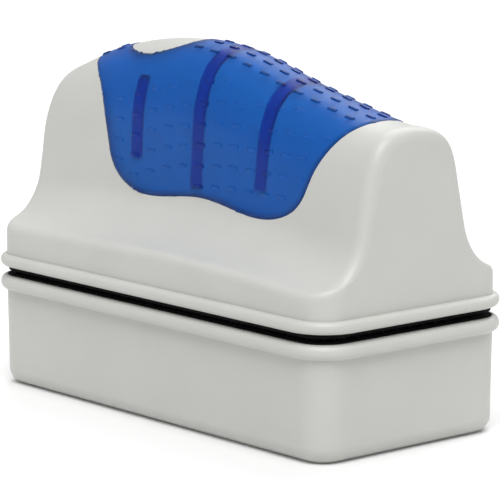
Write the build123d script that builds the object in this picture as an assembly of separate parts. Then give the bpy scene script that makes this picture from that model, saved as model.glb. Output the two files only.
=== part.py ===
from build123d import *
import os
from math import atan, cos, sin, sqrt

# Magnetic glass cleaner: a handle half that stays outside the aquarium and a floating half
# that follows it inside. Millimetres. X runs along the length, Y across, Z up. The origin is
# the bottom centre of the floating half, which the cleaner stands on when it is put together.

# ---- driving dimensions ----
rim_length = 78.0        # over the two rims, along X
rim_width = 38.5         # over the two rims, along Y
rim_overhang = 1.35      # the rims stand this far out of the side walls
rim_rounding = 0.46      # rounding of a rim's edge, as a share of its thickness
rim_corner = 6.7         # upright corners of the rims, seen from above
body_corner = 4.4        # upright corners of the side walls, seen from above
wall = 1.8               # wall of the handle shell
float_wall = 1.6         # wall and floor of the float shell
fit_gap = 0.1            # clearance between pieces that slot together

float_shell_top = 14.95
float_bottom_fillet = 2.3
float_draft = 0.2        # the float shell is this much smaller each side at its foot
float_lid_top = 17.15
pads_meet = 17.9         # where the scrub pad lies against the felt pad
rim_bottom = 18.6
rim_top = 20.4           # the handle shell stands on the plate here
pad_recess = 0.85        # depth of the recess that holds each pad
adhesive = 0.15
pad_inset = 0.15         # each pad's edge lies this far inside the side walls

shoulder_radius = 1.5
crown_end_radius = 1.6   # rounding between the handle's sides and its flat ends
crown_radius = 7.5       # rounding across the crown

# The flare between the handle's sides and its shoulders is a hyperbola. At a distance y
# out from the crown's half width it stands flare_size / (y + flare_reach) - flare_drop
# above the shoulder.
flare_size = 24.3
flare_reach = 1.5
flare_drop = 2.4
flare_rise = 8.0         # it ends this far above the shoulder

grip_proud = 0.1         # how far the soft grip stands above the shell
grip_depth = 0.9         # how far it is let into the shell
rib_depth = 1.4          # how deep the grip's three ribs reach into the shell
rib_width = 2.2
rib_places = [(-14.3, 36.85, 49.0), (-0.6, 33.65, 60.0), (13.6, 35.05, 60.0)]  # x, bottom, top
window_center_x = -15.5  # the oval opening in the grip, on the ridge
window_length = 15.6
window_width = 10.3

magnet_length = 20.0     # two blocks side by side in each half
handle_magnet_width = 15.0
float_magnet_width = 12.0
magnet_height = 5.0
keeper_thickness = 1.0
tray_wall = 1.2
tray_floor = 0.8

screw_x = 30.0           # the two screws stand on the centre line at +X and -X
screw_shank_radius = 1.2
screw_head_radius = 2.5
screw_head_height = 1.5
screw_length = 9.5
boss_radius = 3.0
head_clearance = 0.1     # above a screw's head, under the felt's adhesive
seat_thickness = 1.2     # plate material under each screw's head
lip_height = 0.8         # the base plate's lip that centres the handle shell
lip_thickness = 1.2
lip_play = 0.9           # between the lip and the shell's wall, which its rounding needs
clamp_width = 7.0
clamp_thickness = 1.6
clamp_leg_gap = 0.6      # between the clamp's legs and the magnets' tray

# ---- derived ----
body_length = rim_length - 2 * rim_overhang
body_width = rim_width - 2 * rim_overhang
end_x = body_length / 2
side_y = body_width / 2

# Stations of the handle along X: x, ridge height, half width of the crown, half width near
# its top as a share of that, shoulder height.
end_minus = (-end_x, 47.9, 9.0, 0.64, 24.7)
end_plus = (end_x, 45.8, 9.3, 0.73, 23.9)
stations = [
    (body_corner - end_x, 49.6, 9.1, 0.64, 24.9),
    (-22.0, 53.15, 8.8, 0.64, 25.25),
    (-11.0, 54.5, 8.3, 0.64, 25.45),
    (2.0, 53.65, 8.0, 0.64, 25.75),
    (14.0, 50.4, 8.0, 0.64, 25.45),
    (24.0, 47.85, 8.5, 0.66, 24.85),
    (end_x - body_corner, 46.0, 9.1, 0.71, 24.1),
]
crown_low_share = 0.95   # half width where the crown's rounding starts, as a share
crown_mid_drop = 0.29    # depth of the narrower point, as a share of crown_radius

# The grip seen from the side, the same on both sides of the handle: x, z from the ridge at
# the tall end, down, along its lower edge and up to the ridge at the low end.
grip_outline = [
    (-33.2, 51.95),
    (-27.5, 49.8),
    (-22.9, 45.95),
    (-20.9, 40.95),
    (-18.7, 35.1),
    (-13.8, 32.1),
    (-9.0, 31.7),
    (1.0, 32.6),
    (10.5, 31.5),
    (18.2, 31.6),
    (23.2, 34.35),
    (25.2, 38.45),
    (28.0, 42.85),
    (31.4, 46.45),
]
above_handle = 60.0
window_floor = 47.0      # the window is cut from here up


def rounding(radius, depth):
    """How far a quarter-round of this radius is set back, `depth` mm in from the end face."""
    if depth >= radius:
        return 0.0
    return radius - sqrt(radius**2 - (radius - depth) ** 2)


def flare_slope(y, half):
    """Angle of the flare above the level at a distance y from the middle."""
    return atan(flare_size / (y - half + flare_reach) ** 2)


def fold(base, half):
    """How far from the middle the shoulder's rounding runs into the flare."""
    y = base - shoulder_radius
    for _ in range(12):
        y = base - shoulder_radius * (1 - sin(flare_slope(y, half)))
    return y


def handle_section(station, skin, depth):
    """Cross-section of the handle at one station, `skin` mm inside its outer surface."""
    x, ridge, crown, fullness, shoulder = station
    base = side_y - skin - rounding(body_corner, depth)
    crown_in = rounding(crown_end_radius, depth)
    half = crown - skin - crown_in
    top = ridge - skin - crown_in
    shelf = shoulder - skin
    fold_y = fold(base, half)
    fold_rise = flare_size / (fold_y - half + flare_reach) - flare_drop
    slope = flare_slope(fold_y, half)

    def on_flare(share):
        """The flare's point this share of the way up from the fold."""
        rise = fold_rise + share * (flare_rise - fold_rise)
        return half - flare_reach + flare_size / (rise + flare_drop), shelf + rise

    foot = (base, rim_top - skin)
    wall_end = (base, shelf + fold_rise - shoulder_radius * cos(slope))
    flare_points = [on_flare(0.0), on_flare(0.2), on_flare(0.5), on_flare(1.0)]
    flare_end = flare_points[-1]
    crown_low = (crown_low_share * half, top - crown_radius)
    crown_mid = (fullness * half, top - crown_mid_drop * crown_radius)
    lean = (crown_low[0] - flare_end[0], crown_low[1] - flare_end[1])

    def place(y, z):
        return Vector(x, y, z)

    def side(sign):
        """The foot, shoulder and flare on one side."""
        wall_line = Line(place(sign * foot[0], foot[1]), place(sign * wall_end[0], wall_end[1]))
        arc = TangentArc(
            place(sign * wall_end[0], wall_end[1]),
            place(sign * flare_points[0][0], flare_points[0][1]),
            tangent=(0, 0, 1),
        )
        flare = Spline(
            *[place(sign * y, z) for y, z in flare_points],
            tangents=[(0, -sign * cos(slope), sin(slope)), (0, sign * lean[0], lean[1])],
        )
        return [wall_line, arc, flare]

    over = [flare_end, crown_low, crown_mid]
    crown_points = [place(y, z) for y, z in over] + [place(0, top)]
    crown_points += [place(-y, z) for y, z in reversed(over)]
    crown_line = Spline(
        *crown_points, tangents=[(0, lean[0], lean[1]), (0, lean[0], -lean[1])]
    )
    base_line = Line(place(-foot[0], foot[1]), place(foot[0], foot[1]))
    return Face(Wire([base_line, *side(1), crown_line, *side(-1)]))


def between(inner, end, depth):
    """The station `depth` mm in from an end face, on the way to the next station."""
    share = depth / abs(end[0] - inner[0])
    return tuple(e + (i - e) * share for i, e in zip(inner, end))


def handle_solid(skin):
    """The handle's whole outer form, or the form `skin` mm inside it."""
    depths = [0.0, 0.2, 0.7, 1.6, 2.8]
    sections = [handle_section(between(stations[0], end_minus, d), skin, d) for d in depths]
    sections += [handle_section(s, skin, body_corner) for s in stations]
    sections += [
        handle_section(between(stations[-1], end_plus, d), skin, d) for d in reversed(depths)
    ]
    return Solid.make_loft([f.outer_wire() for f in sections])


def block(length, width, low, high, x=0.0, y=0.0):
    """An upright box between two heights."""
    return Pos(x, y, (low + high) / 2) * Box(length, width, high - low)


def slab(length, width, corner, low, high):
    """A rounded rectangle seen from above, between two heights."""
    sheet = Pos(0, 0, low) * RectangleRounded(length, width, corner)
    return extrude(sheet, amount=high - low)


def post(radius, low, high, x, y=0.0):
    """An upright cylinder between two heights."""
    return Pos(x, y, (low + high) / 2) * Cylinder(radius, high - low)


def rim(low, high):
    """A plate as large as the rims, with its outer edge rounded over."""
    plate = slab(rim_length, rim_width, rim_corner, low, high)
    edges = plate.edges().filter_by(Axis.Z, reverse=True)
    return fillet(edges, rim_rounding * (high - low))


def pad_slab(low, high, inset):
    """The outline of a pad, `inset` mm inside the side walls."""
    length = body_length - 2 * inset
    return slab(length, body_width - 2 * inset, body_corner - inset, low, high)


def grip_zone():
    """A block through the handle with the grip's outline seen from the side."""
    edge = Spline(*[Vector(x, 0, z) for x, z in grip_outline])
    first, last = edge @ 0, edge @ 1
    high_first = Vector(first.X, 0, above_handle)
    high_last = Vector(last.X, 0, above_handle)
    side_lines = [Line(last, high_last), Line(high_last, high_first), Line(high_first, first)]
    sheet = Face(Wire([edge, *side_lines]))
    return extrude(sheet, amount=side_y, both=True)


def rib_blocks():
    """Upright slots through the handle where the grip's ribs lie."""
    return [block(rib_width, body_width, low, high, x=x) for x, low, high in rib_places]


def make_grip(proud_form):
    """The soft saddle over the handle, with three ribs on its underside and an oval window."""
    bed = handle_solid(grip_depth)
    for slot in rib_blocks():
        bed -= slot
    window = Pos(window_center_x, 0, window_floor) * Ellipse(
        window_length / 2, window_width / 2
    )
    grip = proud_form & grip_zone()
    grip -= bed
    grip -= handle_solid(rib_depth)
    grip -= extrude(window, amount=above_handle - window_floor)
    return grip


def make_handle_shell(form, grip):
    """The handle's outer casing: hollow, open below, with a screw boss near each end."""
    cavity = handle_solid(wall) & block(
        body_length - 2 * wall, body_width, rim_top - wall, above_handle
    )
    shell = form - cavity
    boss_low = clamp_top()
    for x in (-screw_x, screw_x):
        boss = post(boss_radius, boss_low, above_handle, x)
        shell += boss & cavity
        shell -= post(screw_shank_radius, boss_low, screw_seat() + screw_length + 1.0, x)
    return shell - grip


def plate_floor():
    """Top of the recess in the handle's base plate, which the felt is stuck to."""
    return rim_bottom + pad_recess


def screw_seat():
    """Where the screw heads bear."""
    return plate_floor() + screw_head_height + head_clearance


def clamp_top():
    """Top of the clamp's ears, which the handle shell's bosses stand on."""
    return screw_seat() + seat_thickness + clamp_thickness


def make_base_plate():
    """The handle's closing plate: rim, recess for the felt, centring lip and screw seats."""
    plate = rim(rim_bottom, rim_top)
    plate -= pad_slab(rim_bottom, plate_floor(), pad_inset - fit_gap)
    lip_length = body_length - 2 * (wall + lip_play)
    lip_width = body_width - 2 * (wall + lip_play)
    corner = body_corner - lip_thickness
    lip = slab(lip_length, lip_width, corner, rim_top, rim_top + lip_height)
    lip -= slab(
        lip_length - 2 * lip_thickness,
        lip_width - 2 * lip_thickness,
        corner - lip_thickness,
        rim_top,
        rim_top + lip_height,
    )
    plate += lip
    for x in (-screw_x, screw_x):
        plate += post(
            screw_head_radius + seat_thickness, rim_top, screw_seat() + seat_thickness, x
        )
        plate -= post(screw_head_radius + 0.2, plate_floor(), screw_seat(), x)
        plate -= post(screw_shank_radius + 0.2, screw_seat(), clamp_top(), x)
    return plate


def make_screws():
    """Two self-tapping pan-head screws, put in from below through the base plate."""
    screws = []
    for x in (-screw_x, screw_x):
        head = post(screw_head_radius, screw_seat() - screw_head_height, screw_seat(), x)
        head = fillet(head.edges().sort_by(Axis.Z)[0], 0.6)
        cross = block(3.0, 0.6, screw_seat() - screw_head_height, screw_seat() - 0.8, x=x)
        cross += block(0.6, 3.0, screw_seat() - screw_head_height, screw_seat() - 0.8, x=x)
        shank = post(screw_shank_radius - 0.03, screw_seat(), screw_seat() + screw_length, x)
        shank = chamfer(shank.edges().sort_by(Axis.Z)[-1], 0.5)
        screws.append(head - cross + shank)
    return Compound(screws)


def magnet(width, low, sign):
    """One magnet block; the two of a half touch at x = 0."""
    bar = block(magnet_length, width, low, low + magnet_height, x=sign * magnet_length / 2)
    return chamfer(bar.edges().filter_by(Axis.Z), 0.4)


def tray(width, floor_low, low, high):
    """A frame round a half's two magnets, with a floor where `floor_low` is under `low`."""
    inner_length = 2 * magnet_length + 2 * fit_gap
    inner_width = width + 2 * fit_gap
    outer = slab(inner_length + 2 * tray_wall, inner_width + 2 * tray_wall, 1.6, floor_low, high)
    return outer - slab(inner_length, inner_width, 0.3, low, high)


def make_magnet_clamp(low):
    """The bridge that holds the handle's magnets down, with an ear under each screw boss."""
    ear_low = screw_seat() + seat_thickness
    reach = 2 * screw_x + 2 * boss_radius
    leg_x = magnet_length + tray_wall + clamp_leg_gap + clamp_thickness
    bar = block(2 * leg_x, clamp_width, low, low + clamp_thickness)
    ears = block(reach, clamp_width, ear_low, ear_low + clamp_thickness)
    ears -= block(2 * leg_x - 2 * clamp_thickness, clamp_width, ear_low, low)
    for sign in (-1, 1):
        leg = block(
            clamp_thickness, clamp_width, ear_low, low + clamp_thickness,
            x=sign * (leg_x - clamp_thickness / 2),
        )
        ears += leg
        ears -= post(screw_shank_radius + 0.2, ear_low, clamp_top(), sign * screw_x)
    clamp = bar + ears
    return fillet(clamp.edges().filter_by(Axis.Z).group_by(Axis.X)[-1], 1.2)


def make_float_shell():
    """The floating half's tub, slightly narrower at its foot, rounded below."""
    foot = RectangleRounded(
        body_length - 2 * float_draft, body_width - 2 * float_draft, body_corner - float_draft
    )
    top = Pos(0, 0, float_shell_top) * RectangleRounded(body_length, body_width, body_corner)
    tub = Solid.make_loft([foot.face().outer_wire(), top.face().outer_wire()], True)
    tub = fillet(tub.faces().sort_by(Axis.Z)[0].edges(), float_bottom_fillet)
    room_inset = float_wall + float_draft
    room = pad_slab(float_wall, float_shell_top, room_inset)
    room = fillet(room.faces().sort_by(Axis.Z)[0].edges(), 1.2)
    return tub - room


def make_float_lid():
    """The floating half's lid: rim, recess for the scrub pad, and a lip inside the tub."""
    lid = rim(float_shell_top, float_lid_top)
    recess_floor = float_lid_top - pad_recess
    lid -= pad_slab(recess_floor, float_lid_top, pad_inset - fit_gap)
    lip_inset = float_wall + float_draft + fit_gap
    lip = pad_slab(float_shell_top - 2.0, float_shell_top, lip_inset)
    lip -= pad_slab(float_shell_top - 2.0, float_shell_top, lip_inset + lip_thickness)
    return lid + lip


def build():
    """All sub-parts by node name."""
    form = handle_solid(0.0)
    grip = make_grip(handle_solid(-grip_proud))
    handle_magnet_low = rim_top
    keeper_low = handle_magnet_low + magnet_height
    float_magnet_low = float_shell_top - magnet_height
    float_keeper_low = float_magnet_low - keeper_thickness
    float_tray_low = float_keeper_low - tray_floor
    lid_floor = float_lid_top - pad_recess
    foam_x = magnet_length + tray_wall + 0.6
    foam_length = end_x - float_wall - float_draft - 0.6 - foam_x
    foam_width = body_width - 2 * (float_wall + float_draft + 1.6)
    parts = {
        "handle_shell": make_handle_shell(form, grip),
        "grip_pad": grip,
        "handle_base_plate": make_base_plate(),
        "handle_magnet_tray": tray(
            handle_magnet_width, handle_magnet_low, handle_magnet_low, handle_magnet_low + 2.6
        ),
        "handle_magnet_left": magnet(handle_magnet_width, handle_magnet_low, -1),
        "handle_magnet_right": magnet(handle_magnet_width, handle_magnet_low, 1),
        "handle_keeper_plate": block(
            2 * magnet_length, handle_magnet_width - 1.0, keeper_low, keeper_low + keeper_thickness
        ),
        "handle_magnet_clamp": make_magnet_clamp(keeper_low + keeper_thickness),
        "handle_screws": make_screws(),
        "felt_adhesive": pad_slab(plate_floor() - adhesive, plate_floor(), pad_inset + 0.3),
        "felt_pad": pad_slab(pads_meet, plate_floor() - adhesive, pad_inset),
        "float_shell": make_float_shell(),
        "float_lid": make_float_lid(),
        "float_magnet_tray": tray(
            float_magnet_width, float_tray_low, float_keeper_low, float_shell_top
        ),
        "float_magnet_left": magnet(float_magnet_width, float_magnet_low, -1),
        "float_magnet_right": magnet(float_magnet_width, float_magnet_low, 1),
        "float_keeper_plate": block(
            2 * magnet_length, float_magnet_width - 0.6, float_keeper_low, float_magnet_low
        ),
        "scrub_adhesive": pad_slab(lid_floor, lid_floor + adhesive, pad_inset + 0.3),
        "scrub_pad": pad_slab(lid_floor + adhesive, pads_meet, pad_inset),
    }
    for name, sign in (("left", -1), ("right", 1)):
        foam = block(
            foam_length, foam_width, float_wall + 0.6, float_shell_top - 2.6,
            x=sign * (foam_x + foam_length / 2),
        )
        parts[f"buoyancy_foam_{name}"] = fillet(foam.edges().filter_by(Axis.Z), 2.0)
    return parts


os.makedirs("parts", exist_ok=True)
for name, shape in build().items():
    export_step(shape, f"parts/{name}.step")
    print(name, round(shape.volume, 1))
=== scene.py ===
import bmesh
import bpy
import math
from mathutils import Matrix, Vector, noise
from mathutils.bvhtree import BVHTree


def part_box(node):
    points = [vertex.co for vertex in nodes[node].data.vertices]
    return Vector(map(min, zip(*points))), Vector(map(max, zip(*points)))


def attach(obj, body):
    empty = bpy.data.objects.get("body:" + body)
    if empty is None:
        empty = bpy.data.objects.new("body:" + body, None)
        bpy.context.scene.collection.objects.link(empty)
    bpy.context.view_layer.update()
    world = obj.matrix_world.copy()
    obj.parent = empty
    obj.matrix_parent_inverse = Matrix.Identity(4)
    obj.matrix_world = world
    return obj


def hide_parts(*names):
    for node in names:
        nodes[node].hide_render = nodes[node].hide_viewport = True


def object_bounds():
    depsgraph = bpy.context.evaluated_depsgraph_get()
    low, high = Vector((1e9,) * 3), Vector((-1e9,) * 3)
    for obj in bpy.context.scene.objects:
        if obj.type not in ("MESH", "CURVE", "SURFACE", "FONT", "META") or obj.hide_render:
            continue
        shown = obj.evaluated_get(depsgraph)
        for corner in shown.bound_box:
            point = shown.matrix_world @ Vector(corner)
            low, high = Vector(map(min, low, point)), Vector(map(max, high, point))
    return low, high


# Magnetic glass cleaner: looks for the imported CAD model. Metres throughout, except where a
# name or comment says millimetres.

MM = 0.001

# ---- camera ----
CAMERA_PLACE = (0.33533, -0.28725, 0.10193)
CAMERA_AIM = (-0.00089, 0.0025, 0.02322)
CAMERA_LENS = 216.0               # millimetres, on a sensor 36 mm wide

# ---- the handle, seen from its own long axis ----
HANDLE_AXIS = 41.0 * MM           # height of the line that its surface is searched about
SEARCH_FROM = 60.0 * MM           # rays start this far from that line
SEARCH_REACH = math.radians(128)  # each way from straight up
PROFILE_STEPS = 150
RIB_STEPS = 180

# ---- the clear blue grip ----
GRIP_VOXEL = 0.28 * MM
GRIP_SOFTENING = 4                # smoothing passes
GRIP_SWELL = 0.05 * MM            # how far its outside stands proud of the CAD form
GRIP_BEDDED = 0.22 * MM           # how far it goes into the shell, so that the two touch all over
FACES_SHELL = -0.3                # below this share of outwardness, a point faces the shell
EDGE_SHADE_REACH = 0.85 * MM            # how far the painted shade along its edge reaches
GRIP_SHARP = math.radians(48)

# ---- raised bars on the grip, in rows along it ----
BAR_PITCH = 3.68 * MM             # from bar to bar along a row
BAR_ROWS_REACH = 34.0 * MM        # the rows stop this far from the middle
# Rows on the crown: arc from the ridge, and the x of one of the row's bars.
CROWN_ROWS = ((1.1 * MM, -0.1 * MM), (3.5 * MM, 1.74 * MM))
CLEAR_OF_CROWN = 2.4 * MM         # from the crown's outer row to the first row on a flank
FLANK_BAR_X = 0.85 * MM           # x of one bar in every row on the flanks
FLANK_ROW_START = 43.85 * MM      # height of one of those rows
FLANK_ROW_PITCH = 3.05 * MM
FLANK_ROWS = range(-4, 3)
FLANK_ROW_BOW = 5.8               # per metre: the rows bend down towards the tall end
FLANK_ROW_BOW_FROM = 10.4 * MM
BAR_LENGTH = 1.8 * MM
BAR_WIDTH = 0.62 * MM
CROWN_BAR_HEIGHT = 0.24 * MM
FLANK_BAR_HEIGHT = 0.2 * MM
BAR_SUNK = 0.3 * MM
SHADED_END_FACES = 17                # the faces of a bar's first end, which get the darker blue as painted shade
# Along a bar: distance in from its end, and its half width and height there as shares.
BAR_ENDS = ((0.0, 0.36, 0.45), (0.09 * MM, 0.47, 0.86), (0.25 * MM, 0.5, 1.0))
# Across a bar, from its foot to its top: shares of the half width and of the height.
BAR_SHOULDERS = ((1.0, 0.45), (0.82, 0.86), (0.42, 1.0))
CLEAR_OF_EDGE = 0.75 * MM         # from a bar to the grip's edge
LARGEST_STEP = 3.0 * MM           # a bigger step than this is off the grip

# ---- the grip's ribs, as in the CAD: x, bottom and top in millimetres ----
RIBS = ((-14.3, 36.85, 49.0), (-0.6, 33.65, 60.0), (13.6, 35.05, 60.0))
RIB_WIDTH = 2.2 * MM
RIB_TOP = 0.62 * MM               # depth of a rib's dark core under the grip's surface
RIB_BOTTOM = 1.38 * MM
RIB_CORNER = 0.2 * MM
RIB_BEVEL = 0.3                   # the middle of a corner, as a share of RIB_CORNER
SHORTEST_RUN = 8                  # a run of fewer points is no rib

# ---- the two pads that clean the glass ----
PAD_CORNER = 4.25 * MM            # plan radius
PAD_STEP = 0.4 * MM               # spacing of a pad's points
FACE_INSET = 0.12 * MM            # the worn face and the flat back are this much smaller
BACK_INSET = 0.1 * MM
NAP = 0.07 * MM                   # depth of the face's unevenness
FUZZ = 0.09 * MM                  # depth of the side's unevenness
# Up a pad's side, from its face to its back: inset in millimetres, and share of the way.
PAD_SIDE = ((0.03, 0.12), (0.01, 0.3), (0.04, 0.5), (0.0, 0.72), (0.05, 0.92))
NUB_PITCH = 1.25 * MM
NUB_HEIGHT = 0.65 * MM            # from the backing to the pad's top
NUB_MARGIN = 0.7 * MM             # from the outermost nubs' axes to the backing's edge
NUB_SIDES = 7
NUB_LEAN = 0.1 * MM
# Up a nub: radius, and height over the backing, in millimetres.
NUB_STATIONS = ((0.36, -0.25), (0.30, 0.3), (0.24, 0.52), (0.13, 0.62))

# ---- the foam blocks ----
FOAM_VOXEL = 0.55 * MM
FOAM_SOFTENING = 6
FOAM_DENTS = 0.12 * MM

PIECE_SHARP = math.radians(50)

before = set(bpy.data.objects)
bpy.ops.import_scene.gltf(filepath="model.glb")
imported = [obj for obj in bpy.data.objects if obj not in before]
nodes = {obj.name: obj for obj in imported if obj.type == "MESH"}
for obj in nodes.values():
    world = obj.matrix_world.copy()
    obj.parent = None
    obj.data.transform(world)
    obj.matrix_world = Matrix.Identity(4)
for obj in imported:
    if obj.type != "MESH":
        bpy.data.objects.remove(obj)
cad_low, cad_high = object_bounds()


# ---------------------------------------------------------------- camera, light and floor
def make_camera():
    """A long lens that sees the +X end and the -Y flank from a little above."""
    data = bpy.data.cameras.new("camera")
    data.lens = CAMERA_LENS
    data.sensor_width = 36.0
    data.clip_start = 0.01
    data.clip_end = 20.0
    camera = bpy.data.objects.new("camera", data)
    bpy.context.collection.objects.link(camera)
    place = Vector(CAMERA_PLACE)
    camera.location = place
    camera.rotation_euler = (Vector(CAMERA_AIM) - place).to_track_quat("-Z", "Y").to_euler()
    bpy.context.scene.camera = camera


def soft_light(name, towards, spread, strength):
    """Even light from far away, in the direction `towards`, from a source `spread` degrees wide."""
    data = bpy.data.lights.new(name, "SUN")
    data.angle = math.radians(spread)
    data.energy = strength
    lamp = bpy.data.objects.new(name, data)
    lamp.location = Vector(towards)
    lamp.rotation_euler = (-Vector(towards)).to_track_quat("-Z", "Y").to_euler()
    bpy.context.collection.objects.link(lamp)


def make_world(horizon, zenith):
    """Soft white surroundings, a little brighter overhead."""
    world = bpy.data.worlds.new("studio")
    world.use_nodes = True
    tree = world.node_tree
    base = tree.nodes["Background"]
    base.inputs["Color"].default_value = (1.0, 1.0, 1.0, 1.0)
    coords = tree.nodes.new("ShaderNodeTexCoord")
    split = tree.nodes.new("ShaderNodeSeparateXYZ")
    ramp = tree.nodes.new("ShaderNodeMapRange")
    ramp.inputs["To Min"].default_value = horizon
    ramp.inputs["To Max"].default_value = zenith
    tree.links.new(coords.outputs["Generated"], split.inputs[0])
    tree.links.new(split.outputs["Z"], ramp.inputs["Value"])
    tree.links.new(ramp.outputs["Result"], base.inputs["Strength"])
    bpy.context.scene.world = world


def make_floor():
    """A plain pale floor just under the object."""
    data = bpy.data.meshes.new("floor")
    reach = 6.0
    corners = [(-reach, -reach, 0), (reach, -reach, 0), (reach, reach, 0), (-reach, reach, 0)]
    data.from_pydata(corners, [], [(0, 1, 2, 3)])
    floor = bpy.data.objects.new("floor", data)
    bpy.context.collection.objects.link(floor)
    floor.location.z = cad_low.z - 0.02 * MM
    material = bpy.data.materials.new("floor_white")
    material.use_nodes = True
    shader = material.node_tree.nodes["Principled BSDF"]
    shader.inputs["Base Color"].default_value = (0.78, 0.78, 0.78, 1.0)
    shader.inputs["Roughness"].default_value = 0.9
    shader.inputs["Specular IOR Level"].default_value = 0.1
    shader.inputs["Emission Color"].default_value = (1.0, 1.0, 1.0, 1.0)
    shader.inputs["Emission Strength"].default_value = 0.03
    data.materials.append(material)


# ---------------------------------------------------------------- materials
class Recipe:
    """A material with object coordinates in millimetres and short calls for its nodes."""

    def __init__(self, name):
        self.material = bpy.data.materials.new(name)
        self.material.use_nodes = True
        self.tree = self.material.node_tree
        self.shader = self.tree.nodes["Principled BSDF"]
        self.out = self.tree.nodes["Material Output"]
        coords = self.tree.nodes.new("ShaderNodeTexCoord")
        scale = self.tree.nodes.new("ShaderNodeVectorMath")
        scale.operation = "SCALE"
        scale.inputs["Scale"].default_value = 1.0 / MM
        self.link(coords.outputs["Object"], scale.inputs[0])
        self.point = scale.outputs[0]

    def link(self, source, target):
        self.tree.links.new(source, target)

    def set(self, **values):
        for key, value in values.items():
            socket = self.shader.inputs[key.replace("_", " ")]
            socket.default_value = (*value, 1.0) if isinstance(value, tuple) else value
        return self

    def noise(self, period, detail=3.0, stretch=(1, 1, 1), rough=0.5):
        """Noise whose features are about `period` millimetres across."""
        mapped = self.tree.nodes.new("ShaderNodeMapping")
        mapped.inputs["Scale"].default_value = stretch
        self.link(self.point, mapped.inputs["Vector"])
        node = self.tree.nodes.new("ShaderNodeTexNoise")
        node.inputs["Scale"].default_value = 1.0 / period
        node.inputs["Detail"].default_value = detail
        node.inputs["Roughness"].default_value = rough
        self.link(mapped.outputs["Vector"], node.inputs["Vector"])
        return node.outputs["Fac"]

    def spread(self, source, low, high, from_low=0.3, from_high=0.7):
        node = self.tree.nodes.new("ShaderNodeMapRange")
        node.inputs["From Min"].default_value = from_low
        node.inputs["From Max"].default_value = from_high
        node.inputs["To Min"].default_value = low
        node.inputs["To Max"].default_value = high
        self.link(source, node.inputs["Value"])
        return node.outputs["Result"]

    def two_colours(self, source, first, second):
        node = self.tree.nodes.new("ShaderNodeMix")
        node.data_type = "RGBA"
        node.inputs["A"].default_value = (*first, 1.0)
        node.inputs["B"].default_value = (*second, 1.0)
        self.link(source, node.inputs["Factor"])
        return node.outputs["Result"]

    def bump(self, source, height_mm, strength=1.0):
        node = self.tree.nodes.new("ShaderNodeBump")
        node.inputs["Distance"].default_value = height_mm * MM
        node.inputs["Strength"].default_value = strength
        self.link(source, node.inputs["Height"])
        self.link(node.outputs["Normal"], self.shader.inputs["Normal"])

    def colour(self, source):
        self.link(source, self.shader.inputs["Base Color"])

    def roughness(self, source):
        self.link(source, self.shader.inputs["Roughness"])


def white_plastic(name, tint=(0.508, 0.512, 0.486)):
    """Satin moulded plastic: a fine spark-eroded grain, faint clouding and slight shine changes."""
    r = Recipe(name)
    clouded = tuple(c * 0.965 for c in tint)
    r.colour(r.two_colours(r.spread(r.noise(9.0, 4.0), 0.0, 1.0), tint, clouded))
    r.roughness(r.spread(r.noise(3.0, 5.0), 0.36, 0.46))
    r.bump(r.noise(0.18, 2.0), 0.004, 0.5)
    r.set(IOR=1.5)
    return r.material


def grip_plastic(name, tint, edge_shade_tint, low, high):
    """Clear blue soft plastic: light is taken up on its way through; along its edge, where it meets
    the shell, the colour is darkened as painted shade.
    """
    r = Recipe(name)
    edge = r.tree.nodes.new("ShaderNodeAttribute")
    edge.attribute_name = "edge"
    # painted shade: the colour darkens towards the shell along the grip's edge
    r.colour(r.two_colours(edge.outputs["Fac"], tint, edge_shade_tint))
    r.set(Transmission_Weight=1.0, IOR=1.27)
    r.roughness(r.spread(r.noise(1.6, 4.0), low, high))
    r.bump(r.noise(1.5, 2.0), 0.02, 0.3)
    volume = r.tree.nodes.new("ShaderNodeVolumeAbsorption")
    volume.inputs["Color"].default_value = (0.02, 0.5, 0.98, 1.0)
    volume.inputs["Density"].default_value = 320.0
    r.link(volume.outputs[0], r.out.inputs["Volume"])
    return r.material


def rib_blue_and_shade():
    """The dark blue of the grip's thick ribs, where hardly any light comes back: in part the thicker
    blue plastic, in part painted shade of the shell's grooves under them.
    """
    r = Recipe("rib_blue_and_painted_shade")
    clouds = r.spread(r.noise(2.5), 0.0, 1.0)
    # partly painted shade: the rib colour also stands in for the shade in the grooves under the ribs
    r.colour(r.two_colours(clouds, (0.0, 0.10, 0.30), (0.001, 0.12, 0.35)))
    r.roughness(r.spread(r.noise(0.8), 0.4, 0.6))
    r.set(Specular_IOR_Level=0.1)
    return r.material


def black_fibre(name, dark, pale, sheen):
    """Black fibres: short streaks in two directions under a soft sheen."""
    r = Recipe(name)
    fibres = r.noise(0.35, 6.0, (1.0, 3.0, 2.0), 0.7)
    first, second = (dark, dark, dark * 1.2), (pale, pale, pale * 1.1)
    r.colour(r.two_colours(r.spread(fibres, 0.0, 1.0), first, second))
    r.roughness(r.spread(r.noise(0.8, 4.0), 0.85, 1.0))
    r.bump(fibres, 0.12, 0.9)
    r.set(Sheen_Weight=sheen, Sheen_Roughness=0.5, Specular_IOR_Level=0.1)
    return r.material


def black_plastic(name):
    """Moulded black plastic with a fine grain."""
    r = Recipe(name)
    clouds = r.spread(r.noise(4.0), 0.0, 1.0)
    r.colour(r.two_colours(clouds, (0.02, 0.02, 0.022), (0.035, 0.035, 0.037)))
    r.roughness(r.spread(r.noise(1.2, 4.0), 0.42, 0.6))
    r.bump(r.noise(0.25, 2.0), 0.01, 0.6)
    return r.material


def metal(name, tint, low, high, streak):
    """Plated metal with fine streaks along one direction."""
    r = Recipe(name)
    lines = r.noise(0.6, 4.0, streak, 0.6)
    r.colour(r.two_colours(r.spread(lines, 0.0, 1.0), tint, tuple(c * 0.85 for c in tint)))
    r.roughness(r.spread(lines, low, high))
    r.bump(lines, 0.01, 0.4)
    r.set(Metallic=1.0)
    return r.material


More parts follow.
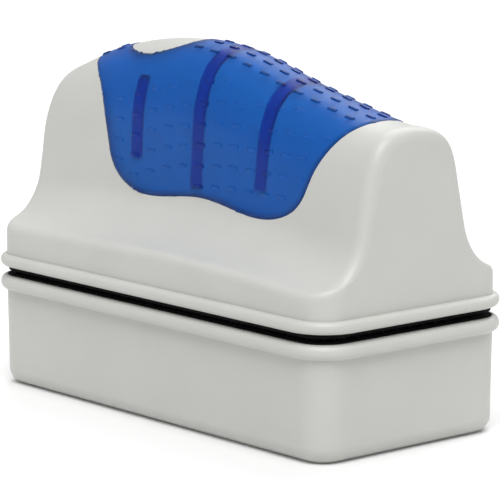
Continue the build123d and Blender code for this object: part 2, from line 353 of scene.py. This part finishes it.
def foam(name):
    """Closed-cell foam: small rounded cells."""
    r = Recipe(name)
    cells = r.tree.nodes.new("ShaderNodeTexVoronoi")
    cells.inputs["Scale"].default_value = 1.6
    r.link(r.point, cells.inputs["Vector"])
    walls = cells.outputs["Distance"]
    r.colour(r.two_colours(r.spread(walls, 0.0, 1.0, 0.0, 0.8), (0.86, 0.86, 0.84), (0.7, 0.7, 0.68)))
    r.roughness(r.spread(r.noise(1.0), 0.7, 0.9))
    r.bump(walls, 0.15, 0.8)
    return r.material


def film(name):
    """Pale double-sided adhesive film, cloudy where it is thinner."""
    r = Recipe(name)
    clouds = r.spread(r.noise(2.0), 0.0, 1.0)
    r.colour(r.two_colours(clouds, (0.8, 0.78, 0.68), (0.72, 0.7, 0.6)))
    r.roughness(r.spread(r.noise(0.7), 0.25, 0.45))
    return r.material


def paint(node, material):
    """Gives a CAD node its material."""
    mesh = nodes[node].data
    mesh.materials.clear()
    mesh.materials.append(material)


# ---------------------------------------------------------------- mesh helpers
def new_piece(name, mesh, material, body):
    piece = bpy.data.objects.new(name, mesh)
    bpy.context.collection.objects.link(piece)
    mesh.materials.clear()
    mesh.materials.append(material)
    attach(piece, body)
    return piece


def apply_modifiers(piece):
    """Replaces the piece's mesh by the result of its modifiers."""
    graph = bpy.context.evaluated_depsgraph_get()
    graph.update()
    made = bpy.data.meshes.new_from_object(piece.evaluated_get(graph))
    piece.modifiers.clear()
    piece.data = made


def remesh_and_soften(piece, voxel, passes):
    """Rebuilds the piece's mesh from voxels and smooths it, which rounds its edges."""
    remesh = piece.modifiers.new("remesh", "REMESH")
    remesh.mode = "VOXEL"
    remesh.voxel_size = voxel
    soften = piece.modifiers.new("soften", "SMOOTH")
    soften.factor = 0.5
    soften.iterations = passes
    apply_modifiers(piece)


def move_points(mesh, offset):
    """Moves every point of the mesh by offset(point) at once."""
    moved = [v.co + offset(v) for v in mesh.vertices]
    for v, place in zip(mesh.vertices, moved):
        v.co = place
    mesh.update()


def welded(node):
    """A copy of a CAD node's mesh with its doubled corners joined."""
    mesh = nodes[node].data.copy()
    made = bmesh.new()
    made.from_mesh(mesh)
    bmesh.ops.remove_doubles(made, verts=made.verts, dist=0.001 * MM)
    made.to_mesh(mesh)
    made.free()
    return mesh


def side_faces(first, second):
    """The quads between two closed rings of points."""
    count = len(first)
    return [
        (first[k], first[(k + 1) % count], second[(k + 1) % count], second[k])
        for k in range(count)
    ]


def closed_mesh(name, points, faces):
    """A smooth-shaded mesh with its faces turned outward."""
    mesh = bpy.data.meshes.new(name)
    mesh.from_pydata(points, [], faces)
    made = bmesh.new()
    made.from_mesh(mesh)
    bmesh.ops.recalc_face_normals(made, faces=made.faces)
    made.to_mesh(mesh)
    made.free()
    mesh.shade_smooth()
    mesh.set_sharp_from_angle(angle=PIECE_SHARP)
    return mesh


# ---------------------------------------------------------------- the handle's outer surface
def tree_of(node):
    """A ray tree over a CAD node's mesh."""
    mesh = nodes[node].data
    faces = [tuple(p.vertices) for p in mesh.polygons]
    return BVHTree.FromPolygons([v.co for v in mesh.vertices], faces)


class HandleSurface:
    """Finds points on the outside of the handle by casting rays at it from outside."""

    def __init__(self):
        self.grip = tree_of("grip_pad")
        self.shell = tree_of("handle_shell")

    def look(self, origin, direction):
        """(point, normal, on the grip?) where the ray first meets the handle."""
        on_grip = self.grip.ray_cast(origin, direction)
        on_shell = self.shell.ray_cast(origin, direction)
        if on_grip[0] is None and on_shell[0] is None:
            return None
        grip_first = on_grip[0] is not None and (on_shell[0] is None or on_grip[3] < on_shell[3])
        hit = on_grip if grip_first else on_shell
        normal = hit[1] if hit[1].dot(direction) < 0 else -hit[1]
        return hit[0], normal, grip_first

    def around(self, x, angle):
        """The surface at an angle from straight up about the handle's axis; negative is -Y."""
        out = Vector((0, math.sin(angle), math.cos(angle)))
        centre = Vector((x, 0, HANDLE_AXIS))
        return self.look(centre + out * SEARCH_FROM, -out)

    def profile(self, x, side):
        """Points down one side from the ridge, each with its arc length from the ridge."""
        rows, arc, last = [], 0.0, None
        for i in range(PROFILE_STEPS):
            found = self.around(x, side * SEARCH_REACH * i / (PROFILE_STEPS - 1))
            if found is None:
                continue
            if last is not None:
                arc += (found[0] - last).length
            last = found[0]
            rows.append((arc, *found))
        return rows


def make_bar(top):
    """The corners and faces of one raised bar: a short ridge with rounded ends and top."""
    half = BAR_LENGTH / 2
    stations = [(-half + back, wide, high) for back, wide, high in BAR_ENDS]
    stations += [(half - back, wide, high) for back, wide, high in reversed(BAR_ENDS)]
    points = []
    for along, wide, high in stations:
        half_width, height = BAR_WIDTH * wide, top * high
        points.append((along, -half_width, -BAR_SUNK))
        for out, up in BAR_SHOULDERS:
            points.append((along, -half_width * out, height * up))
        for out, up in reversed(BAR_SHOULDERS):
            points.append((along, half_width * out, height * up))
        points.append((along, half_width, -BAR_SUNK))
    count = len(points) // len(stations)
    rings = [list(range(r * count, (r + 1) * count)) for r in range(len(stations))]
    faces = [tuple(reversed(rings[0]))]
    for first, second in zip(rings, rings[1:]):
        faces += side_faces(first, second)
    faces.append(tuple(rings[-1]))
    return points, faces


def columns(start):
    """The x of every bar in a row that has one at `start`."""
    first = math.ceil((-BAR_ROWS_REACH - start) / BAR_PITCH)
    last = math.floor((BAR_ROWS_REACH - start) / BAR_PITCH)
    return [start + k * BAR_PITCH for k in range(first, last + 1)]


def crown_places(surface):
    """(point, normal) for each bar of the rows that run along the crown."""
    places = []
    for arc, start in CROWN_ROWS:
        for x in columns(start):
            for side in (-1, 1):
                rows = surface.profile(x, side)
                places.append(min(rows, key=lambda r: abs(r[0] - arc)))
    return kept_places(surface, places)


def flank_places(surface):
    """(point, normal) for each bar on the flanks, in level rows that bow down at the tall end."""
    places = []
    for x in columns(FLANK_BAR_X):
        drop = FLANK_ROW_BOW * max(0.0, FLANK_ROW_BOW_FROM - x) ** 2
        for side in (-1, 1):
            rows = surface.profile(x, side)
            for k in FLANK_ROWS:
                height = FLANK_ROW_START + k * FLANK_ROW_PITCH - drop
                for a, b in zip(rows, rows[1:]):
                    beyond_crown = a[0] > CROWN_ROWS[-1][0] + CLEAR_OF_CROWN
                    if a[1].z >= height > b[1].z and beyond_crown:
                        places.append(a)
    return kept_places(surface, places)


def kept_places(surface, places):
    """Those of the places that are on the grip and clear of its edges."""
    kept = []
    for _, point, normal, on_grip in places:
        if on_grip and clear_of_edges(surface, point, normal):
            kept.append((point, normal))
    return kept


def directions_on(normal):
    """Two directions on the surface at a normal: along the handle, and across it."""
    along = Vector((1, 0, 0)) - normal * normal.x
    along.normalize()
    return along, normal.cross(along)


def clear_of_edges(surface, point, normal):
    """True where the grip goes on for a little way all round the point."""
    along, across = directions_on(normal)
    reach_along, reach_across = BAR_LENGTH / 2 + CLEAR_OF_EDGE * 0.6, CLEAR_OF_EDGE
    slant = 0.8
    ways = [(1, 0), (-1, 0), (0, 1), (0, -1)]
    ways += [(i * slant, j * slant) for i in (1, -1) for j in (1, -1)]
    for du, dv in ways:
        place = point + along * (du * reach_along) + across * (dv * reach_across)
        found = surface.look(place + normal * LARGEST_STEP, -normal)
        if found is None or not found[2] or (found[0] - point).length > LARGEST_STEP:
            return False
    return True


def make_bars(surface):
    """All the bars as one mesh; the crown's, and one end of the others, get the darker blue, which is
    painted shade.
    """
    all_points, all_faces, slots = [], [], []
    for places, height, all_shaded in (
        (flank_places(surface), FLANK_BAR_HEIGHT, False),
        (crown_places(surface), CROWN_BAR_HEIGHT, True),
    ):
        points, faces = make_bar(height)
        # painted shade: the darker blue covers a crown bar whole, and only the first end of a flank
        # bar
        shaded_faces = len(faces) if all_shaded else SHADED_END_FACES
        for place, normal in places:
            along, across = directions_on(normal)
            start = len(all_points)
            for u, v, w in points:
                all_points.append(place + along * u + across * v + normal * w)
            all_faces += [tuple(start + k for k in f) for f in faces]
            slots += [1] * shaded_faces + [0] * (len(faces) - shaded_faces)
    mesh = closed_mesh("bars", all_points, all_faces)
    for face, slot in zip(mesh.polygons, slots):
        face.material_index = slot
    return mesh


# ---------------------------------------------------------------- the grip
def make_grip(surface):
    """The clear blue saddle: the CAD form with softened edges and the raised bars on it."""
    mesh = welded("grip_pad")
    grip = bpy.data.objects.new("grip_saddle", mesh)
    bpy.context.collection.objects.link(grip)
    remesh_and_soften(grip, GRIP_VOXEL, GRIP_SOFTENING)
    move_points(grip.data, grip_offset)
    # painted shade: the dark blue given to the grip's edge where it meets the shell
    painted_edge_shade = (0.001, 0.03, 0.15)
    clear = grip_plastic("grip_blue", (0.03, 0.38, 1.0), painted_edge_shade, 0.30, 0.42)
    # painted shade: this darker blue goes on the crown's bars and on one end of the others
    bar_shade_blue = grip_plastic("bar_blue_painted_shade", (0.012, 0.20, 0.65), painted_edge_shade, 0.25, 0.35)
    bars = bpy.data.objects.new("bars", make_bars(surface))
    for piece in (grip, bars):
        while len(piece.data.materials) < 2:
            piece.data.materials.append(None)
        piece.data.materials[0] = clear
        piece.data.materials[1] = bar_shade_blue
    bpy.context.collection.objects.link(bars)
    join = grip.modifiers.new("join", "BOOLEAN")
    join.operation = "UNION"
    join.solver = "MANIFOLD"
    join.object = bars
    apply_modifiers(grip)
    bpy.data.objects.remove(bars)
    mark_edge_shade(grip.data, surface)
    grip.data.shade_smooth()
    grip.data.set_sharp_from_angle(angle=GRIP_SHARP)
    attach(grip, "handle_half")
    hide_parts("grip_pad")


def mark_edge_shade(mesh, surface):
    """Stores how near each point is to the shell beside the grip, for the painted shade along the
    grip's edge: 1 touching, 0 from EDGE_SHADE_REACH on.
    """
    near = []
    for v in mesh.vertices:
        gap = surface.shell.find_nearest(v.co)[3]
        near.append(max(0.0, 1.0 - gap / EDGE_SHADE_REACH))
    mesh.attributes.new("edge", "FLOAT", "POINT").data.foreach_set("value", near)


def grip_offset(v):
    """How far a point of the grip moves: out along its normal, further where it faces the shell."""
    outward = Vector((0, v.co.y, v.co.z - HANDLE_AXIS)).normalized()
    return v.normal * (GRIP_BEDDED if v.normal.dot(outward) < FACES_SHELL else GRIP_SWELL)


def rib_sections(surface, x, bottom, top):
    """Runs of (left, middle, right) surface places along one rib, one run for each unbroken part."""
    runs, run = [], []
    for i in range(-RIB_STEPS, RIB_STEPS + 1):
        angle = SEARCH_REACH * i / RIB_STEPS
        places = [surface.around(x + sign * RIB_WIDTH / 2, angle) for sign in (-1, 0, 1)]
        if all(p is not None for p in places) and bottom < places[1][0].z < top:
            run.append(places)
        elif run:
            runs.append(run)
            run = []
    if run:
        runs.append(run)
    return [r for r in runs if len(r) > SHORTEST_RUN]


def rib_ring(left, middle, right):
    """One cross-section of a rib's core, under three places on the surface."""
    down = -middle[1]
    across = (right[0] - left[0]).normalized()
    high_l, high_r = left[0] + down * RIB_TOP, right[0] + down * RIB_TOP
    return [
        left[0] + down * RIB_BOTTOM,
        high_l + down * RIB_CORNER,
        high_l + down * RIB_CORNER * RIB_BEVEL + across * RIB_CORNER * RIB_BEVEL,
        high_l + across * RIB_CORNER,
        middle[0] + down * RIB_TOP,
        high_r - across * RIB_CORNER,
        high_r + down * RIB_CORNER * RIB_BEVEL - across * RIB_CORNER * RIB_BEVEL,
        high_r + down * RIB_CORNER,
        right[0] + down * RIB_BOTTOM,
    ]


def make_ribs(surface):
    """The dark cores of the three ribs on the grip's underside, seen through it; their darkness is in
    part painted shade of the grooves.
    """
    points, faces = [], []
    for x, bottom, top in RIBS:
        for run in rib_sections(surface, x * MM, bottom * MM, top * MM):
            rings = []
            for places in run:
                ring = rib_ring(*places)
                rings.append(list(range(len(points), len(points) + len(ring))))
                points += ring
            for first, second in zip(rings, rings[1:]):
                faces += side_faces(first, second)
            faces.append(tuple(rings[0]))
            faces.append(tuple(reversed(rings[-1])))
    mesh = closed_mesh("grip_ribs", points, faces)
    new_piece("grip_ribs", mesh, rib_blue_and_shade(), "handle_half")


# ---------------------------------------------------------------- the soft pads and foams
def rounded_grid(half_x, half_y, corner, step):
    """A grid that fills a rounded rectangle: its points by column, its cells, and its rim in order."""
    columns, rows = round(2 * half_x / step), round(2 * half_y / step)
    points = []
    for i in range(columns + 1):
        for j in range(rows + 1):
            x, y = half_x * (2 * i / columns - 1), half_y * (2 * j / rows - 1)
            over_x, over_y = abs(x) - (half_x - corner), abs(y) - (half_y - corner)
            if over_x > 0 and over_y > 0:
                pull = max(over_x, over_y) / math.hypot(over_x, over_y)
                x = math.copysign(half_x - corner + over_x * pull, x)
                y = math.copysign(half_y - corner + over_y * pull, y)
            points.append((x, y))
    tall = rows + 1
    rim = [i * tall for i in range(columns)]
    rim += [columns * tall + j for j in range(rows)]
    rim += [i * tall + rows for i in range(columns, 0, -1)]
    rim += [j for j in range(rows, 0, -1)]
    cells = [
        (i * tall + j, (i + 1) * tall + j, (i + 1) * tall + j + 1, i * tall + j + 1)
        for i in range(columns)
        for j in range(rows)
    ]
    return points, cells, rim


def nap(x, y, seed):
    """Between 0 and 1: the unevenness of pressed fibres, coarse and fine together."""
    place = Vector((x / MM, y / MM, seed))
    value = noise.noise(place * 0.3) + 0.8 * noise.noise(place * 1.3) + 0.6 * noise.noise(place * 3.1)
    return min(1.0, max(0.0, 0.5 + 0.5 * value))


def sheet_mesh(low, high, face_is_low):
    """A thick soft sheet in the box: a worn face, a slightly bulging fuzzy side and a flat back."""
    middle = (low + high) / 2
    half = (high - low) / 2
    flat, cells, rim = rounded_grid(half.x, half.y, PAD_CORNER, PAD_STEP)
    face_z, back_z = (low.z, high.z) if face_is_low else (high.z, low.z)
    into = 1 if back_z > face_z else -1
    points, faces = [], list(cells)
    for x, y in flat:
        share = 1 - FACE_INSET / half.x
        z = face_z + into * NAP * nap(x, y, 1.0)
        points.append((middle.x + x * share, middle.y + y * share, z))
    last = rim
    for number, (inset, way) in enumerate(PAD_SIDE):
        ring = []
        for k in rim:
            x, y = flat[k]
            share = 1 - (inset * MM + FUZZ * nap(x * 2, y * 2, 10.0 + number)) / half.y
            ring.append(len(points))
            z = face_z + way * (back_z - face_z)
            points.append((middle.x + x * share, middle.y + y * share, z))
        faces += side_faces(last, ring)
        last = ring
    start = len(points)
    for x, y in flat:
        share = 1 - BACK_INSET / half.y
        points.append((middle.x + x * share, middle.y + y * share, back_z))
    faces += side_faces(last, [start + k for k in rim])
    faces += [tuple(start + k for k in reversed(cell)) for cell in cells]
    return points, faces


def make_felt(material):
    """The felt under the handle: pressed fibres with a fuzzy edge."""
    low, high = (Vector(corner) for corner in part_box("felt_pad"))
    mesh = closed_mesh("felt", *sheet_mesh(low, high, True))
    piece = new_piece("felt_sheet", mesh, material, "handle_half")
    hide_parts("felt_pad")


def nub(x, y, base):
    """The points and faces of one short blunt nub that leans a little its own way."""
    lean = NUB_LEAN * noise.noise(Vector((x / MM, y / MM, 5.0)))
    points, rings = [], []
    for number, (radius, height) in enumerate(NUB_STATIONS):
        rings.append(list(range(len(points), len(points) + NUB_SIDES)))
        for k in range(NUB_SIDES):
            turn = 2 * math.pi * k / NUB_SIDES
            nub_x = x + radius * MM * math.cos(turn) + lean * number
            nub_y = y + radius * MM * math.sin(turn) - lean * number
            points.append((nub_x, nub_y, base + height * MM))
    faces = [tuple(reversed(rings[0]))]
    for first, second in zip(rings, rings[1:]):
        faces += side_faces(first, second)
    faces.append(tuple(rings[-1]))
    return points, faces


def make_scrubber(material):
    """The scrubbing pad on the float: a backing with staggered rows of short blunt nubs."""
    low, high = (Vector(corner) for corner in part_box("scrub_pad"))
    high.z -= NUB_HEIGHT
    points, faces = sheet_mesh(low, high, False)
    half = (high - low) / 2
    reach_x, reach_y = half.x - NUB_MARGIN, half.y - NUB_MARGIN
    rows = math.ceil(reach_y / NUB_PITCH)
    columns_each_way = math.ceil(reach_x / NUB_PITCH)
    for j in range(-rows, rows + 1):
        for i in range(-columns_each_way, columns_each_way + 1):
            x, y = (i + 0.5 * (j % 2)) * NUB_PITCH, j * NUB_PITCH
            if inside_rounded(x, y, reach_x, reach_y, PAD_CORNER):
                start = len(points)
                nub_points, nub_faces = nub(x, y, high.z)
                points += nub_points
                faces += [tuple(start + k for k in face) for face in nub_faces]
    mesh = closed_mesh("scrubber", points, faces)
    piece = new_piece("scrub_sheet", mesh, material, "float_half")
    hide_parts("scrub_pad")


def inside_rounded(x, y, half_x, half_y, corner):
    """True inside a rounded rectangle about the origin."""
    over_x, over_y = abs(x) - (half_x - corner), abs(y) - (half_y - corner)
    if over_x > 0 and over_y > 0:
        return math.hypot(over_x, over_y) < corner
    return max(over_x, over_y) < corner


def foam_offset(v):
    """A shallow dent at a point of a foam block."""
    return -v.normal * FOAM_DENTS * nap(v.co.x + v.co.z, v.co.y - v.co.z, 3.0)


def make_foam(node, name, material):
    """One foam block of the float: soft edges and shallow dents."""
    block = new_piece(name, welded(node), material, "float_half")
    remesh_and_soften(block, FOAM_VOXEL, FOAM_SOFTENING)
    move_points(block.data, foam_offset)
    block.data.materials.clear()
    block.data.materials.append(material)
    block.data.shade_smooth()
    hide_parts(node)


# ---------------------------------------------------------------- the scene
make_camera()
make_world(0.42, 0.58)
make_floor()
soft_light("softbox", (0.35, -0.31, 0.885), 45, 2.5)
soft_light("back_light", (-0.35, 0.60, 0.70), 50, 1.1)
bpy.context.scene.view_settings.view_transform = "Standard"

shell_white = white_plastic("shell_white")
tray_black = black_plastic("tray_black")
nickel = metal("magnet_nickel", (0.62, 0.60, 0.56), 0.16, 0.30, (1.0, 1.0, 3.0))
zinc = metal("keeper_zinc", (0.56, 0.57, 0.58), 0.28, 0.45, (0.15, 1.0, 1.0))
steel = metal("screw_steel", (0.60, 0.59, 0.57), 0.20, 0.36, (1.0, 1.0, 0.3))
adhesive = film("adhesive_film")
felt_black = black_fibre("felt_black", 0.002, 0.009, 0.04)
scrub_black = black_fibre("scrub_black", 0.003, 0.012, 0.03)
foam_white = foam("foam_white")
FINISHES = {
    "handle_shell": shell_white,
    "handle_base_plate": shell_white,
    "float_shell": shell_white,
    "float_lid": shell_white,
    "handle_magnet_tray": tray_black,
    "handle_magnet_clamp": tray_black,
    "float_magnet_tray": tray_black,
    "handle_magnet_left": nickel,
    "handle_magnet_right": nickel,
    "float_magnet_left": nickel,
    "float_magnet_right": nickel,
    "handle_keeper_plate": zinc,
    "float_keeper_plate": zinc,
    "handle_screws": steel,
    "felt_adhesive": adhesive,
    "scrub_adhesive": adhesive,
}
for name, finish in FINISHES.items():
    paint(name, finish)

handle = HandleSurface()
make_grip(handle)
make_ribs(handle)
make_felt(felt_black)
make_scrubber(scrub_black)
for side in ("left", "right"):
    make_foam("buoyancy_foam_" + side, "foam_block_" + side, foam_white)
